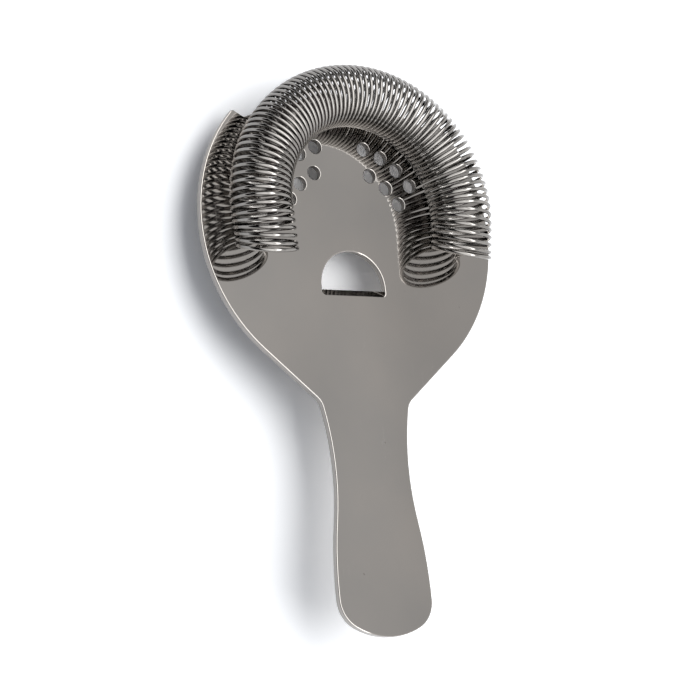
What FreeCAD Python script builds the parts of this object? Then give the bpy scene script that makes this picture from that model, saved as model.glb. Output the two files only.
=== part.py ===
"""Hawthorne strainer: a flat stamped plate with a coil spring bent into a horseshoe around its front.

Millimetres. The origin is on the plate's back face, at the centre of its round head. +Z points out of
the face that carries the coil, +Y points to the front edge, and the handle runs along -Y.
"""
import FreeCAD, Part
import math
import os

V = FreeCAD.Vector
UP = V(0, 0, 1)

# Plate: round head, tapering shoulders, and a handle that is waisted and then flared.
plate_thickness = 2.0
edge_roll = 0.35
head_radius = 47.5
shoulder_angle = 41.0
neck_fillet = 5.0
handle_length = 69.5
waist_to_end = 47.0
waist_half_width = 12.2
waist_radius = 85.0
flare_angle = 9.8
flare_radius = 120.0
handle_end_radius = 22.0
handle_corner_radius = 9.0

# Front edge: a shallow arc, cut back into the head between two small ears.
front_cut_back = 10.0
front_edge_radius = 75.0
ear_angle = 45.5
ear_width = 3.7
ear_fillet = 1.2

# Finger cut-out: half round. Along its flat side, which faces the handle, a ledge slopes into it.
cutout_radius = 10.3
cutout_centre_y = -17.0
cutout_flat_y = -19.5
cutout_corner_radius = 1.0
ledge_width = 1.7
ledge_angle = 30.0

# Drain holes: two curved rows on each side of the middle, on circles about one centre.
drain_hole_diameter = 4.0
drain_hole_roll = 0.25
drain_centre_y = -3.0
outer_row_radius = 27.8
outer_row_start = 16.7
outer_row_step = 12.25
outer_row_count = 4
inner_row_radius = 21.0
inner_row_start = 26.0
inner_row_step = 16.4
inner_row_count = 3

# Coil spring: round wire, bent into a horseshoe with two straight legs that close in a little.
# It keeps a margin inside the head's rim and stands out over the front edge.
wire_diameter = 1.1
coil_diameter = 17.7
coil_gap = 0.1
rim_margin = 5.85
front_overhang = 7.75
leg_toe_in = 4.5
left_leg_length = 10.5
right_leg_length = 9.5

# Turns: closed, then open, at each end. In the rest of the bend they all but touch on the inner side.
closed_turns = 1
closed_turn_gap = 0.05
open_turns = 14
open_turn_gap = 0.75
bend_turn_gap = 0.08
end_lean = 22.0
lean_run = 12.0

# Wire ends: each leaves the last turn early and drops into its own hole in the plate.
wire_lift_off = 40.0
wire_end_recess = 0.2
wire_hole_clearance = 0.1

handle_end_y = -head_radius - handle_length
waist_centre = V(waist_half_width + waist_radius, handle_end_y + waist_to_end, 0)
front_edge_y = head_radius - front_cut_back

mean_radius = (coil_diameter - wire_diameter) / 2
coil_foot_z = plate_thickness + coil_gap + wire_diameter / 2
bend_radius = head_radius - rim_margin - coil_diameter / 2
bend_centre_y = front_edge_y + front_overhang - coil_diameter / 2 - bend_radius
half_bend_angle = math.radians(90 + leg_toe_in)
half_bend_length = half_bend_angle * bend_radius
centre_line_length = left_leg_length + 2 * half_bend_length + right_leg_length

closed_pitch = (wire_diameter + closed_turn_gap) / math.cos(math.radians(end_lean))
open_pitch = wire_diameter + open_turn_gap
end_length = closed_turns * closed_pitch + open_turns * open_pitch
tightest_pitch = (wire_diameter + bend_turn_gap) * bend_radius / (bend_radius - mean_radius)
bend_turns = int((centre_line_length - 2 * end_length) / tightest_pitch)
bend_pitch = (centre_line_length - 2 * end_length) / bend_turns
total_turns = 2 * (closed_turns + open_turns) + bend_turns


def polar(radius, degrees, centre_y=0.0):
    """The point at an angle from +Y, positive towards +X, on a circle centred on the middle line."""
    angle = math.radians(degrees)
    return V(radius * math.sin(angle), centre_y + radius * math.cos(angle), 0)


def arc_on_circle(start, end, centre, radius, bulge):
    """An arc from start to end on the given circle, passing on the side that bulge points to."""
    middle = (start + end) / 2 - centre
    if middle.dot(bulge) < 0:
        middle = -middle
    return Part.Arc(start, centre + middle.normalize() * radius, end).toShape()


def shoulder_meets_waist():
    """Where the straight shoulder, tangent to the head, meets the circle of the handle's waist."""
    tangent_point = polar(head_radius, 180 - shoulder_angle)
    angle = math.radians(shoulder_angle)
    along = V(-math.cos(angle), -math.sin(angle), 0)
    offset = tangent_point - waist_centre
    half_b = offset.dot(along)
    root = math.sqrt(half_b ** 2 - offset.dot(offset) + waist_radius ** 2)
    return tangent_point, tangent_point + along * (root - half_b)


def outline():
    """The plate's outline: the right half, from the front to the handle's end, and its mirror image."""
    ear_tip = polar(head_radius, ear_angle)
    front_centre = V(0, front_edge_y - front_edge_radius, 0)
    notch_x = ear_tip.x - ear_width
    notch = V(notch_x, front_centre.y + math.sqrt(front_edge_radius ** 2 - notch_x ** 2), 0)
    tangent_point, neck = shoulder_meets_waist()
    flare = math.radians(flare_angle)
    outward = V(math.cos(flare), math.sin(flare), 0)
    flare_start = waist_centre - outward * waist_radius
    flare_centre = flare_start - outward * flare_radius
    widest = flare_centre + V(flare_radius, 0, 0)
    end_centre = V(0, handle_end_y + handle_end_radius, 0)
    corner_drop = math.sqrt(handle_end_radius ** 2 - widest.x ** 2)
    corner = V(widest.x, end_centre.y - corner_drop, 0)
    half = [
        Part.LineSegment(notch, ear_tip).toShape(),
        Part.Arc(ear_tip, V(head_radius, 0, 0), tangent_point).toShape(),
        Part.LineSegment(tangent_point, neck).toShape(),
        arc_on_circle(neck, flare_start, waist_centre, waist_radius, V(-1, 0, 0)),
        arc_on_circle(flare_start, widest, flare_centre, flare_radius, V(1, 0, 0)),
        Part.LineSegment(widest, corner).toShape(),
    ]
    other_half = [edge.mirror(V(), V(1, 0, 0)) for edge in half]
    front = Part.Arc(notch, V(0, front_edge_y, 0), V(-notch.x, notch.y, 0)).toShape()
    end = Part.Arc(corner, V(0, handle_end_y, 0), V(-corner.x, corner.y, 0)).toShape()
    corners = [
        (notch, ear_fillet),
        (ear_tip, ear_fillet),
        (neck, neck_fillet),
        (corner, handle_corner_radius),
    ]
    return Part.Wire(Part.__sortEdges__(half + other_half + [front, end])), corners


def upright_edges_at(solid, point):
    """The vertical edges above a point of the outline and above its mirror image."""
    return [edge for edge in solid.Edges
            if abs(abs(edge.CenterOfMass.x) - point.x) < 0.01 and abs(edge.CenterOfMass.y - point.y) < 0.01]


def edges_at_height(solid, z):
    return [edge for edge in solid.Edges
            if abs(edge.BoundBox.ZMin - z) < 1e-6 and abs(edge.BoundBox.ZMax - z) < 1e-6]


def plate_blank():
    wire, corners = outline()
    blank = Part.Face(wire).extrude(UP * plate_thickness)
    for point, radius in corners:
        blank = blank.makeFillet(radius, upright_edges_at(blank, point))
    rims = edges_at_height(blank, 0) + edges_at_height(blank, plate_thickness)
    return blank.makeFillet(edge_roll, rims)


def cutout():
    """The half-round opening as a solid, to take from the plate."""
    right = V(cutout_radius, cutout_centre_y, 0)
    left = V(-cutout_radius, cutout_centre_y, 0)
    low_right = V(cutout_radius, cutout_flat_y, 0)
    low_left = V(-cutout_radius, cutout_flat_y, 0)
    edges = [
        Part.Arc(right, V(0, cutout_centre_y + cutout_radius, 0), left).toShape(),
        Part.LineSegment(left, low_left).toShape(),
        Part.LineSegment(low_left, low_right).toShape(),
        Part.LineSegment(low_right, right).toShape(),
    ]
    opening = Part.Face(Part.Wire(edges)).extrude(UP * plate_thickness)
    return opening.makeFillet(cutout_corner_radius, upright_edges_at(opening, low_right))


def ledge():
    """The ledge along the cut-out's flat side. Its slope runs on smoothly from the rolled upper rim."""
    half_width = cutout_radius + edge_roll
    slope = math.radians(ledge_angle)
    roll_centre = V(-half_width, cutout_flat_y - edge_roll, plate_thickness - edge_roll)
    crest = roll_centre + V(0, math.sin(slope), math.cos(slope)) * edge_roll
    lip_y = cutout_flat_y + ledge_width
    lip = V(-half_width, lip_y, crest.z - (lip_y - crest.y) * math.tan(slope))
    under_lip = V(-half_width, lip_y, 0)
    under_roll = V(-half_width, roll_centre.y, 0)
    profile = Part.makePolygon([roll_centre, crest, lip, under_lip, under_roll, roll_centre])
    return Part.Face(profile).extrude(V(2 * half_width, 0, 0))


def drain_rows():
    """The centres of the drain holes, right and left."""
    rows = [
        (outer_row_radius, outer_row_start, outer_row_step, outer_row_count),
        (inner_row_radius, inner_row_start, inner_row_step, inner_row_count),
    ]
    return [polar(radius, side * (start + step * index), drain_centre_y)
            for radius, start, step, count in rows for index in range(count) for side in (1, -1)]


def rim_edges(solid, centres, reach):
    """The upper and lower edges of the plate that lie within reach of one of the centres."""
    rims = edges_at_height(solid, 0) + edges_at_height(solid, plate_thickness)
    places = [V(edge.CenterOfMass.x, edge.CenterOfMass.y, 0) for edge in rims]
    return [edge for edge, place in zip(rims, places)
            if any((place - centre).Length < reach for centre in centres)]


def wire_hole(entry):
    return Part.makeCylinder(wire_diameter / 2 + wire_hole_clearance, plate_thickness, entry, -UP)


def make_plate():
    plate = plate_blank()
    plate = plate.cut(cutout())
    plate = plate.makeFillet(edge_roll, rim_edges(plate, [V(0, cutout_centre_y, 0)], cutout_radius + 1))
    plate = plate.fuse(ledge()).removeSplitter()
    for centre in drain_rows():
        plate = plate.cut(Part.makeCylinder(drain_hole_diameter / 2, plate_thickness, centre))
    plate = plate.makeFillet(drain_hole_roll, rim_edges(plate, drain_rows(), drain_hole_diameter / 2))
    for turn in (0, total_turns):
        plate = plate.cut(wire_hole(wire_entry(turn)))
    return plate


def travel(turn):
    """How far along the centre line the wire has come after a number of turns."""
    from_end = min(turn, total_turns - turn)
    distance = min(from_end, closed_turns) * closed_pitch
    distance += min(max(from_end - closed_turns, 0), open_turns) * open_pitch
    distance += max(from_end - closed_turns - open_turns, 0) * bend_pitch
    if turn > total_turns / 2:
        return centre_line_length - distance
    return distance


def centre_line(distance):
    """A point of the horseshoe, the way along it, and the way to its inside."""
    along_bend = min(max(distance - left_leg_length, 0), 2 * half_bend_length)
    angle = along_bend / bend_radius - half_bend_angle
    outward = V(math.sin(angle), math.cos(angle), 0)
    along = V(math.cos(angle), -math.sin(angle), 0)
    past_bend = distance - left_leg_length - along_bend
    return V(0, bend_centre_y, 0) + outward * bend_radius + along * past_bend, along, -outward


def coil_point(turn):
    """A point of the wire's centre. Near each end the turns lean out over the leg's end."""
    distance = travel(turn)
    place, along, inward = centre_line(distance)
    from_end = min(distance, centre_line_length - distance)
    fade = min(max((from_end - closed_turns * closed_pitch) / lean_run, 0), 1)
    lean = math.radians(end_lean) * (1 - fade)
    if turn < total_turns / 2:
        along = -along
    upward = UP * math.cos(lean) + along * math.sin(lean)
    angle = 2 * math.pi * turn - math.pi / 2
    centre = place + UP * (coil_foot_z + mean_radius * math.cos(lean))
    return centre + (inward * math.cos(angle) + upward * math.sin(angle)) * mean_radius


def coil_direction(turn):
    step = 0.001
    return (coil_point(turn + step) - coil_point(turn - step)).normalize()


def lift_off_turn(turn):
    """The turn at which the wire leaves the coil, a little before it would touch the plate."""
    return abs(turn - wire_lift_off / 360)


def wire_entry(turn):
    """Where the wire's end enters the plate's top face, straight down."""
    point = coil_point(lift_off_turn(turn))
    bend = math.radians(90 - wire_lift_off)
    return V(point.x - (point.z - plate_thickness) * math.tan(bend / 2), point.y, plate_thickness)


def tangent_arcs(start, start_way, end, end_way):
    """Two arcs that leave start and reach end in the given directions and meet smoothly."""
    chord = end - start
    spread = 2 * (start_way.dot(end_way) - 1)
    half_b = -chord.dot(start_way + end_way)
    reach = (-half_b - math.sqrt(half_b ** 2 - spread * chord.dot(chord))) / spread
    first, last = start + start_way * reach, end - end_way * reach
    middle = (first + last) / 2
    return [tangent_arc(start, first, middle), tangent_arc(middle, last, end)]


def tangent_arc(start, corner, end):
    """The arc inside a corner of two equal sides, touching each side at its end."""
    base = (start + end) / 2
    half_base = (end - start).Length / 2
    quarter_turn = math.atan2((corner - base).Length, half_base) / 2
    crown = base + (corner - base).normalize() * (half_base * math.tan(quarter_turn))
    return Part.Arc(start, crown, end).toShape()


def coil_path():
    """The wire's centre line: up through the plate, along every half turn, and down again."""
    first, last = wire_entry(0), wire_entry(total_turns)
    depth = UP * (plate_thickness - wire_end_recess)
    leave = lift_off_turn(0)
    half_turns = 2 * total_turns
    step = (total_turns - 2 * leave) / half_turns
    turns = [leave + step * index for index in range(half_turns + 1)]
    points = [coil_point(turn) for turn in turns]
    ways = [coil_direction(turn) for turn in turns]
    edges = [Part.LineSegment(first - depth, first).toShape()]
    edges += tangent_arcs(first, UP, points[0], ways[0])
    for index in range(half_turns):
        edges += tangent_arcs(points[index], ways[index], points[index + 1], ways[index + 1])
    edges += tangent_arcs(points[-1], ways[-1], last, -UP)
    edges.append(Part.LineSegment(last, last - depth).toShape())
    return Part.Wire(edges)


def make_coil():
    path = coil_path()
    section = Part.Face(Part.Wire(Part.makeCircle(wire_diameter / 2, path.Vertexes[0].Point, UP)))
    return path.makePipe(section)


def main():
    os.makedirs("parts", exist_ok=True)
    make_plate().exportStep("parts/strainer_plate.step")
    make_coil().exportStep("parts/coil_spring.step")


main()
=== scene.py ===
"""Hawthorne strainer: a mirror-polished gunmetal plate and its fine coil spring, under soft studio light.

Metres, in the CAD model's frame: +Z points out of the face that carries the coil, +Y points to the
front edge, and the handle runs along -Y.
"""
import math

import bpy
from mathutils import Matrix, Vector


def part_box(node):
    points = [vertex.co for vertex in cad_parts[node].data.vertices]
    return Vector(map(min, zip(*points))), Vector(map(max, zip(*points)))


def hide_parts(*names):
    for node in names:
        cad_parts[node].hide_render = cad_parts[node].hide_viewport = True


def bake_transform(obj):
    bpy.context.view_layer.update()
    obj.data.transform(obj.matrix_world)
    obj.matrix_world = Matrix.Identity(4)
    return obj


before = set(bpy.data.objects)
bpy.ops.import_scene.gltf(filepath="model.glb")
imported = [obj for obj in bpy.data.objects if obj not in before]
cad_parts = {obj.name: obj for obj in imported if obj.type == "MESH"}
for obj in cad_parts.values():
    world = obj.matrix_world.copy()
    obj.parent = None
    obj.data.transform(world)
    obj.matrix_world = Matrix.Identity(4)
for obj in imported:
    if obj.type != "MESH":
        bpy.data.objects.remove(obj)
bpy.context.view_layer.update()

MM = 0.001
UP = Vector((0, 0, 1))

PLATE_LOW, PLATE_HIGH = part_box("strainer_plate")
COIL_LOW, COIL_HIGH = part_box("coil_spring")

# Coil: what the frame doesn't tell, in metres.
WIRE_DIAMETER = 1.1 * MM
COIL_DIAMETER = 17.7 * MM
LEG_TOE_IN = math.radians(4.5)
LEFT_LEG_LENGTH, RIGHT_LEG_LENGTH = 10.5 * MM, 9.5 * MM
CLOSED_TURNS, CLOSED_GAP = 1, 0.05 * MM
OPEN_TURNS, OPEN_GAP = 14, 0.75 * MM
BEND_GAP = 0.08 * MM
END_LEAN = math.radians(22)
LEAN_RUN = 12 * MM
WIRE_LIFT_OFF = 40 / 360

MEAN_RADIUS = (COIL_DIAMETER - WIRE_DIAMETER) / 2
BEND_RADIUS = COIL_HIGH.x - COIL_DIAMETER / 2
BEND_CENTRE_Y = COIL_HIGH.y - COIL_DIAMETER / 2 - BEND_RADIUS
COIL_FOOT_Z = COIL_HIGH.z - COIL_DIAMETER + WIRE_DIAMETER / 2
HALF_BEND_ANGLE = math.pi / 2 + LEG_TOE_IN
BEND_LENGTH = 2 * HALF_BEND_ANGLE * BEND_RADIUS
CENTRE_LINE = LEFT_LEG_LENGTH + BEND_LENGTH + RIGHT_LEG_LENGTH

CLOSED_PITCH = (WIRE_DIAMETER + CLOSED_GAP) / math.cos(END_LEAN)
OPEN_PITCH = WIRE_DIAMETER + OPEN_GAP
END_LENGTH = CLOSED_TURNS * CLOSED_PITCH + OPEN_TURNS * OPEN_PITCH
TIGHTEST_PITCH = (WIRE_DIAMETER + BEND_GAP) * BEND_RADIUS / (BEND_RADIUS - MEAN_RADIUS)
BEND_TURNS = int((CENTRE_LINE - 2 * END_LENGTH) / TIGHTEST_PITCH)
BEND_PITCH = (CENTRE_LINE - 2 * END_LENGTH) / BEND_TURNS
TOTAL_TURNS = 2 * (CLOSED_TURNS + OPEN_TURNS) + BEND_TURNS
POINTS_PER_TURN = 48
END_BEND_STEPS = 8
WELD_DISTANCE = 0.001 * MM


# ---------------------------------------------------------------- shader helpers

class Wire:
    """A shader socket that adds a Math node for each arithmetic operator used on it."""

    def __init__(self, tree, socket):
        self.tree = tree
        self.socket = socket

    def maths(self, operation, *values):
        return node(self.tree, "ShaderNodeMath", {"operation": operation}, *values)

    def __add__(self, other):
        return self.maths("ADD", self, other)

    def __sub__(self, other):
        return self.maths("SUBTRACT", self, other)

    def __mul__(self, other):
        return self.maths("MULTIPLY", self, other)

    __radd__ = __add__
    __rmul__ = __mul__

    def clamped(self):
        return node(self.tree, "ShaderNodeClamp", {}, self)


def plug(tree, socket, value):
    """Links a Wire to a socket, or sets the socket to a plain value."""
    if isinstance(value, Wire):
        tree.links.new(value.socket, socket)
    else:
        socket.default_value = value


def node(tree, kind, settings, *values, output=0, **named):
    """Adds one node with its settings, plugs its inputs in order or by name, and returns one output."""
    made = tree.nodes.new(kind)
    for name, value in settings.items():
        if name == "stops":
            set_stops(made.color_ramp, value)
        else:
            setattr(made, name, value)
    for socket, value in zip(made.inputs, values):
        plug(tree, socket, value)
    for name, value in named.items():
        plug(tree, made.inputs[name.replace("_", " ")], value)
    return Wire(tree, made.outputs[output])


def set_stops(ramp, stops):
    """Gives a colour ramp its stops, as pairs of a place and a grey level."""
    while len(ramp.elements) < len(stops):
        ramp.elements.new(0.5)
    for element, (place, level) in zip(ramp.elements, stops):
        element.position = place
        element.color = (level, level, level, 1)


def ramp(tree, value, stops):
    return node(tree, "ShaderNodeValToRGB", {"stops": stops}, value)


def mixed(tree, factor, first, second):
    """A mix of two colours."""
    made = tree.nodes.new("ShaderNodeMix")
    made.data_type = "RGBA"
    plug(tree, made.inputs[0], factor)
    plug(tree, made.inputs[6], first)
    plug(tree, made.inputs[7], second)
    return Wire(tree, made.outputs[2])


def noise(tree, place, scale, detail, roughness=0.5):
    return node(tree, "ShaderNodeTexNoise", {}, Vector=place, Scale=scale, Detail=detail, Roughness=roughness)


def split_axes(vector):
    """The X, Y and Z parts of a vector."""
    split = vector.tree.nodes.new("ShaderNodeSeparateXYZ")
    plug(vector.tree, split.inputs[0], vector)
    return [Wire(vector.tree, part) for part in split.outputs]


def ray_kind(tree, *names):
    """One where the ray is of one of these kinds, and nought elsewhere."""
    rays = tree.nodes.new("ShaderNodeLightPath")
    kinds = [Wire(tree, rays.outputs[name]) for name in names]
    return sum(kinds[1:], kinds[0]).clamped()


def new_material(name):
    """A material with a Principled shader; returns it, its tree, its shader and its object coordinates."""
    material = bpy.data.materials.new(name)
    material.use_nodes = True
    tree = material.node_tree
    shader = tree.nodes["Principled BSDF"]
    place = node(tree, "ShaderNodeTexCoord", {}, output=3)
    return material, tree, shader, place


# ---------------------------------------------------------------- materials

GUNMETAL = (0.262, 0.250, 0.238, 1)
GUNMETAL_WARM = (0.292, 0.272, 0.254, 1)
WORN_EDGE = (0.52, 0.50, 0.48, 1)
PIT_DARK = (0.05, 0.045, 0.04, 1)
WIRE_GUNMETAL = (0.225, 0.216, 0.206, 1)
WIRE_DARK = (0.165, 0.157, 0.149, 1)
WIRE_LIGHT = (0.26, 0.248, 0.236, 1)
PAPER_DARK, PAPER_LIGHT = (0.86, 0.865, 0.87, 1), (0.89, 0.89, 0.895, 1)
WHITENED_DARK, WHITENED_LIGHT = (1.45, 1.455, 1.46, 1), (1.49, 1.49, 1.495, 1)


def upright_part(tree):
    """How squarely the surface faces up or down: one on the flat faces, nought on the walls."""
    facing = node(tree, "ShaderNodeTexCoord", {}, output=1)
    upward = split_axes(facing)[2]
    return upward.maths("ABSOLUTE", upward)


def scratches(tree, place, turn, scale):
    """Hair-fine lines that all run one way, broken into short lengths."""
    size = (scale, scale * 0.02, scale * 0.02)
    stretched = node(tree, "ShaderNodeMapping", {}, Vector=place, Rotation=(0, 0, turn), Scale=size)
    streaks = noise(tree, stretched, 1.0, 2.0)
    patches = noise(tree, place, 60.0, 1.0)
    lines = ramp(tree, streaks, [(0.66, 0.0), (0.70, 1.0)])
    where = ramp(tree, patches, [(0.52, 0.0), (0.66, 1.0)])
    return lines * where


def polished_plate():
    """Gunmetal plating over a mirror polish, with faint haze, waves, hairlines, pin pits and worn rims."""
    material, tree, shader, place = new_material("polished_gunmetal_plate")
    haze = noise(tree, place, 22.0, 4.0, 0.55)
    clouds = noise(tree, place, 55.0, 3.0, 0.6)
    pits = node(tree, "ShaderNodeTexVoronoi", {"feature": "F1"}, Vector=place, Scale=210.0)
    pit_here = noise(tree, place, 33.0, 1.0)
    pit = ramp(tree, pits, [(0.035, 1.0), (0.075, 0.0)]) * ramp(tree, pit_here, [(0.60, 0.0), (0.63, 1.0)])
    hairlines = scratches(tree, place, 0.35, 2600.0) + scratches(tree, place, -1.1, 2100.0)
    rim = ramp(tree, upright_part(tree), [(0.45, 1.0), (0.96, 0.0)])
    tone = mixed(tree, ramp(tree, haze, [(0.35, 0.0), (0.68, 1.0)]), GUNMETAL, GUNMETAL_WARM)
    tone = mixed(tree, rim * 0.15, tone, WORN_EDGE)
    tone = mixed(tree, pit * 0.8, tone, PIT_DARK)
    plug(tree, shader.inputs["Base Color"], tone)
    plug(tree, shader.inputs["Metallic"], 1.0)
    dulled = ramp(tree, clouds, [(0.40, 0.0), (0.75, 1.0)])
    gloss = 0.035 + 0.03 * dulled + 0.10 * hairlines.clamped() + 0.3 * pit
    plug(tree, shader.inputs["Roughness"], gloss)
    height = 0.4 * noise(tree, place, 95.0, 2.0) - 0.10 * hairlines - 0.8 * pit
    broad = noise(tree, place, 13.0, 1.0)
    waves = node(tree, "ShaderNodeBump", {}, Strength=1.0, Distance=1.2 * MM, Height=broad)
    bump = node(tree, "ShaderNodeBump", {}, Strength=0.05, Distance=0.04 * MM, Height=height, Normal=waves)
    plug(tree, shader.inputs["Normal"], bump)
    return material


def drawn_wire():
    """Bright gunmetal spring wire with faint die lines and a little change of tone from turn to turn."""
    material, tree, shader, place = new_material("bright_gunmetal_wire")
    patches = noise(tree, place, 180.0, 3.0, 0.6)
    drift = noise(tree, place, 35.0, 2.0)
    tone = mixed(tree, ramp(tree, patches, [(0.35, 0.0), (0.70, 1.0)]), WIRE_GUNMETAL, WIRE_DARK)
    tone = mixed(tree, ramp(tree, drift, [(0.45, 0.0), (0.70, 1.0)]) * 0.5, tone, WIRE_LIGHT)
    plug(tree, shader.inputs["Base Color"], tone)
    plug(tree, shader.inputs["Metallic"], 1.0)
    plug(tree, shader.inputs["Roughness"], 0.05 + 0.07 * ramp(tree, patches, [(0.40, 0.0), (0.80, 1.0)]))
    height = noise(tree, place, 1500.0, 2.0)
    bump = node(tree, "ShaderNodeBump", {}, Strength=0.06, Distance=0.02 * MM, Height=height)
    plug(tree, shader.inputs["Normal"], bump)
    return material


def table_paper():
    """Matt white paper, over-exposed to the camera and in mirrors, so that it is white outside the shadow."""
    material, tree, shader, place = new_material("white_table")
    grain = noise(tree, place, 400.0, 4.0)
    paper = mixed(tree, grain, PAPER_DARK, PAPER_LIGHT)
    whitened = mixed(tree, grain, WHITENED_DARK, WHITENED_LIGHT)
    seen = ray_kind(tree, "Is Camera Ray", "Is Glossy Ray", "Is Transmission Ray")
    plug(tree, shader.inputs["Base Color"], mixed(tree, seen, paper, whitened))
    plug(tree, shader.inputs["Roughness"], 0.85)
    shader.inputs["Specular IOR Level"].default_value = 0.0
    return material


# ---------------------------------------------------------------- coil spring

def travel(turn):
    """How far along the coil's centre line the wire has come after a number of turns."""
    from_end = min(turn, TOTAL_TURNS - turn)
    distance = min(from_end, CLOSED_TURNS) * CLOSED_PITCH
    distance += min(max(from_end - CLOSED_TURNS, 0), OPEN_TURNS) * OPEN_PITCH
    distance += max(from_end - CLOSED_TURNS - OPEN_TURNS, 0) * BEND_PITCH
    return CENTRE_LINE - distance if turn > TOTAL_TURNS / 2 else distance


def centre_line(distance):
    """A point of the horseshoe, the way along it, and the way to its inside."""
    along_bend = min(max(distance - LEFT_LEG_LENGTH, 0), BEND_LENGTH)
    angle = along_bend / BEND_RADIUS - HALF_BEND_ANGLE
    outward = Vector((math.sin(angle), math.cos(angle), 0))
    along = Vector((math.cos(angle), -math.sin(angle), 0))
    past_bend = distance - LEFT_LEG_LENGTH - along_bend
    return Vector((0, BEND_CENTRE_Y, 0)) + outward * BEND_RADIUS + along * past_bend, along, -outward


def wander(turn):
    """A small unevenness in the spacing of the turns, gone at the ends."""
    from_end = min(turn, TOTAL_TURNS - turn)
    fade = min(max((from_end - CLOSED_TURNS) / OPEN_TURNS, 0), 1)
    return fade * MM * (0.04 * math.sin(1.9 * turn + 0.6) + 0.02 * math.sin(4.7 * turn))


def coil_point(turn):
    """A point of the wire's centre. Near each end the turns lean out over the leg's end."""
    distance = travel(turn) + wander(turn)
    place, along, inward = centre_line(distance)
    from_end = min(distance, CENTRE_LINE - distance)
    lean = END_LEAN * (1 - min(max((from_end - CLOSED_TURNS * CLOSED_PITCH) / LEAN_RUN, 0), 1))
    outward_lean = along if turn > TOTAL_TURNS / 2 else -along
    upward = UP * math.cos(lean) + outward_lean * math.sin(lean)
    angle = 2 * math.pi * turn - math.pi / 2
    centre = place + UP * (COIL_FOOT_Z + MEAN_RADIUS * math.cos(lean))
    return centre + (inward * math.cos(angle) + upward * math.sin(angle)) * MEAN_RADIUS


def wire_end_points(leave, way):
    """From the turn where the wire leaves the coil, a bend down into the plate and a straight end."""
    start = coil_point(leave)
    bend = math.pi / 2 - WIRE_LIFT_OFF * 2 * math.pi
    drop = start.z - PLATE_HIGH.z
    radius = drop / math.sin(bend)
    foot_x = start.x - drop * math.tan(bend / 2)
    points = []
    for step in range(1, END_BEND_STEPS + 1):
        angle = bend * (1 - step / END_BEND_STEPS)
        sideways, height = radius * (1 - math.cos(angle)), radius * math.sin(angle)
        points.append(Vector((foot_x + sideways, start.y, PLATE_HIGH.z + height)))
    points.append(Vector((foot_x, start.y, COIL_LOW.z)))
    return points if way > 0 else points[::-1]


def wire_route():
    """Every point of the wire, from one end in the plate to the other."""
    first, last = WIRE_LIFT_OFF, TOTAL_TURNS - WIRE_LIFT_OFF
    count = round((last - first) * POINTS_PER_TURN)
    turns = [first + (last - first) * index / count for index in range(count + 1)]
    return wire_end_points(first, -1) + [coil_point(turn) for turn in turns] + wire_end_points(last, 1)


def sweep_wire(route):
    """One round wire with closed ends along a route, as a mesh."""
    data = bpy.data.curves.new("coil_wire", "CURVE")
    data.dimensions = "3D"
    data.bevel_depth = WIRE_DIAMETER / 2
    data.bevel_resolution = 4
    data.use_fill_caps = True
    spline = data.splines.new("POLY")
    spline.points.add(len(route) - 1)
    for point, place in zip(spline.points, route):
        point.co = (*place, 1)
    coil = bpy.data.objects.new("coil_wire", data)
    bpy.context.scene.collection.objects.link(coil)
    bpy.ops.object.select_all(action="DESELECT")
    coil.select_set(True)
    bpy.context.view_layer.objects.active = coil
    bpy.ops.object.convert(target="MESH")
    coil = bpy.context.object
    bpy.ops.object.mode_set(mode="EDIT")
    bpy.ops.mesh.select_all(action="SELECT")
    bpy.ops.mesh.remove_doubles(threshold=WELD_DISTANCE)
    bpy.ops.mesh.normals_make_consistent(inside=False)
    bpy.ops.object.mode_set(mode="OBJECT")
    bpy.ops.object.shade_smooth_by_angle(angle=math.radians(50))
    return coil


def make_coil():
    """The spring: one swept wire whose ends bend down into the plate, put in place of the CAD coil, which is
    hidden.
    """
    coil = sweep_wire(wire_route())
    coil.data.materials.clear()
    coil.data.materials.append(drawn_wire())
    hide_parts("coil_spring")
    fixed_end_y = centre_line(CENTRE_LINE)[0].y
    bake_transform(coil)


# ---------------------------------------------------------------- plate

def finish_plate():
    """The plate keeps its CAD shape and takes the polished finish."""
    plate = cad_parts["strainer_plate"]
    plate.data.materials.clear()
    plate.data.materials.append(polished_plate())


# ---------------------------------------------------------------- studio

FLOOR_DROP = 10 * MM
FLOOR_DROP_Y = -13 * MM
FLOOR_TILT = math.radians(6)
FLOOR_SIZE = 0.7

CAMERA_AZIMUTH, CAMERA_ELEVATION = math.radians(-67.339), math.radians(55.607)
CAMERA_ROLL = math.radians(65.053)
CAMERA_AIM = Vector((-3.347 * MM, -35.432 * MM, PLATE_HIGH.z))
CAMERA_DISTANCE = 1186.2 * MM
LENS, SENSOR = 217.8, 36

LAMP_PLACE = (0.643, 0.062, 0.89)
LAMP_SIZE, LAMP_POWER = 2.0, 25
SKY_FILL = (0.26, 0.275, 0.30, 1)


def make_table():
    """The sheet under the strainer, a little lower under the handle than under the head."""
    place = (0, FLOOR_DROP_Y, PLATE_LOW.z - FLOOR_DROP)
    bpy.ops.mesh.primitive_plane_add(size=FLOOR_SIZE, location=place, rotation=(FLOOR_TILT, 0, 0))
    table = bpy.context.object
    table.name = "table"
    table.data.materials.append(table_paper())


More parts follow.
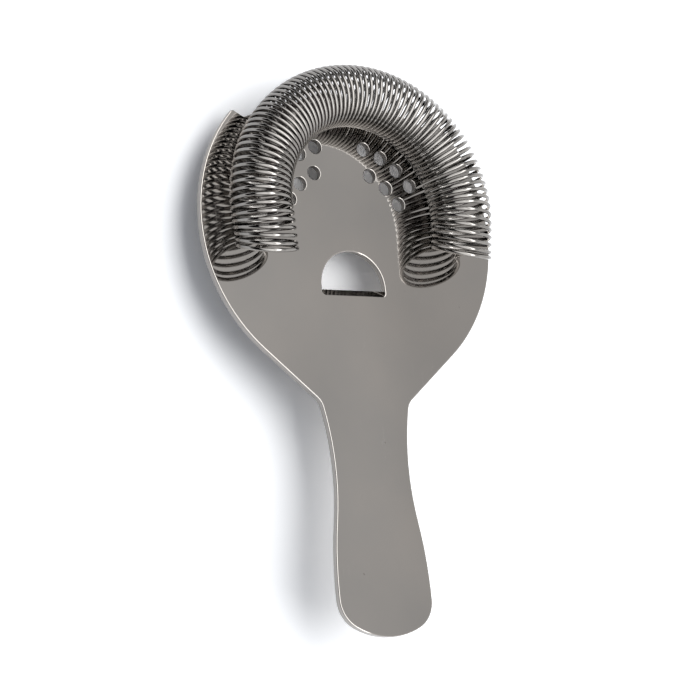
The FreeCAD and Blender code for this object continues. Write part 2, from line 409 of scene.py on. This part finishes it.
def make_camera():
    """A long lens, high over the plate's left side and rolled so that the handle hangs down."""
    back = Vector((
        math.sin(CAMERA_AZIMUTH) * math.cos(CAMERA_ELEVATION),
        -math.cos(CAMERA_AZIMUTH) * math.cos(CAMERA_ELEVATION),
        math.sin(CAMERA_ELEVATION),
    ))
    data = bpy.data.cameras.new("camera")
    data.lens = LENS
    data.sensor_width = SENSOR
    camera = bpy.data.objects.new("camera", data)
    level = back.to_track_quat("Z", "Y").to_matrix().to_4x4()
    place = Matrix.Translation(CAMERA_AIM + back * CAMERA_DISTANCE)
    camera.matrix_world = place @ level @ Matrix.Rotation(CAMERA_ROLL, 4, "Z")
    bpy.context.scene.collection.objects.link(camera)
    bpy.context.scene.camera = camera


def light_object():
    """One wide soft lamp, high on the right, that faces the head and isn't mirrored in the metal."""
    data = bpy.data.lights.new("soft_window", "AREA")
    data.shape = "RECTANGLE"
    data.size = LAMP_SIZE
    data.size_y = LAMP_SIZE
    data.energy = LAMP_POWER
    lamp = bpy.data.objects.new("soft_window", data)
    lamp.location = LAMP_PLACE
    lamp.rotation_euler = Vector(LAMP_PLACE).to_track_quat("Z", "Y").to_euler()
    lamp.visible_glossy = False
    bpy.context.scene.collection.objects.link(lamp)


def mirrored_studio(direction):
    """What the metal mirrors: a pale wall low on the right, a long bright box above, and a dark room."""
    tree = direction.tree
    x, y, z = split_axes(direction)
    half_turn = z.maths("ARCTAN2", z, x) * (1 / math.pi)
    along = y * 0.5 + 0.5
    wall = ramp(tree, half_turn, [
        (0.0, 1.6), (0.26, 1.5), (0.30, 0.80), (0.335, 1.12), (0.372, 1.5), (0.392, 0.0),
    ])
    box = ramp(tree, half_turn, [
        (0.372, 0.0), (0.392, 7.5), (0.455, 7.5), (0.475, 2.5),
        (0.53, 2.5), (0.56, 3.0), (0.755, 1.7), (0.79, 0.0),
    ])
    wall_reach = ramp(tree, along, [(0.05, 0.8), (0.15, 1.0), (0.78, 1.0), (0.95, 0.10)])
    box_reach = ramp(tree, along, [(0.0, 0.5), (0.05, 0.6), (0.15, 1.0), (0.85, 1.0), (0.96, 0.0)])
    near_wall = ramp(tree, along, [(0.0, 0.8), (0.20, 0.5), (0.27, 0.0)])
    return wall * wall_reach + box * box_reach + near_wall * (z * 4.0).clamped() + 0.02


def make_world():
    """White to the camera, the studio to mirrors, and a cool even fill to everything else."""
    world = bpy.data.worlds.new("studio")
    bpy.context.scene.world = world
    world.use_nodes = True
    tree = world.node_tree
    studio = mirrored_studio(node(tree, "ShaderNodeTexCoord", {}, output=0))
    mirrored = ray_kind(tree, "Is Glossy Ray", "Is Transmission Ray")
    colour = mixed(tree, mirrored, SKY_FILL, studio)
    colour = mixed(tree, ray_kind(tree, "Is Camera Ray"), colour, (1, 1, 1, 1))
    background = tree.nodes["Background"]
    plug(tree, background.inputs["Color"], colour)
    background.inputs["Strength"].default_value = 1.0


# ---------------------------------------------------------------- scene

finish_plate()
make_coil()
make_table()
make_camera()
light_object()
make_world()
bpy.context.scene.view_settings.view_transform = "Standard"
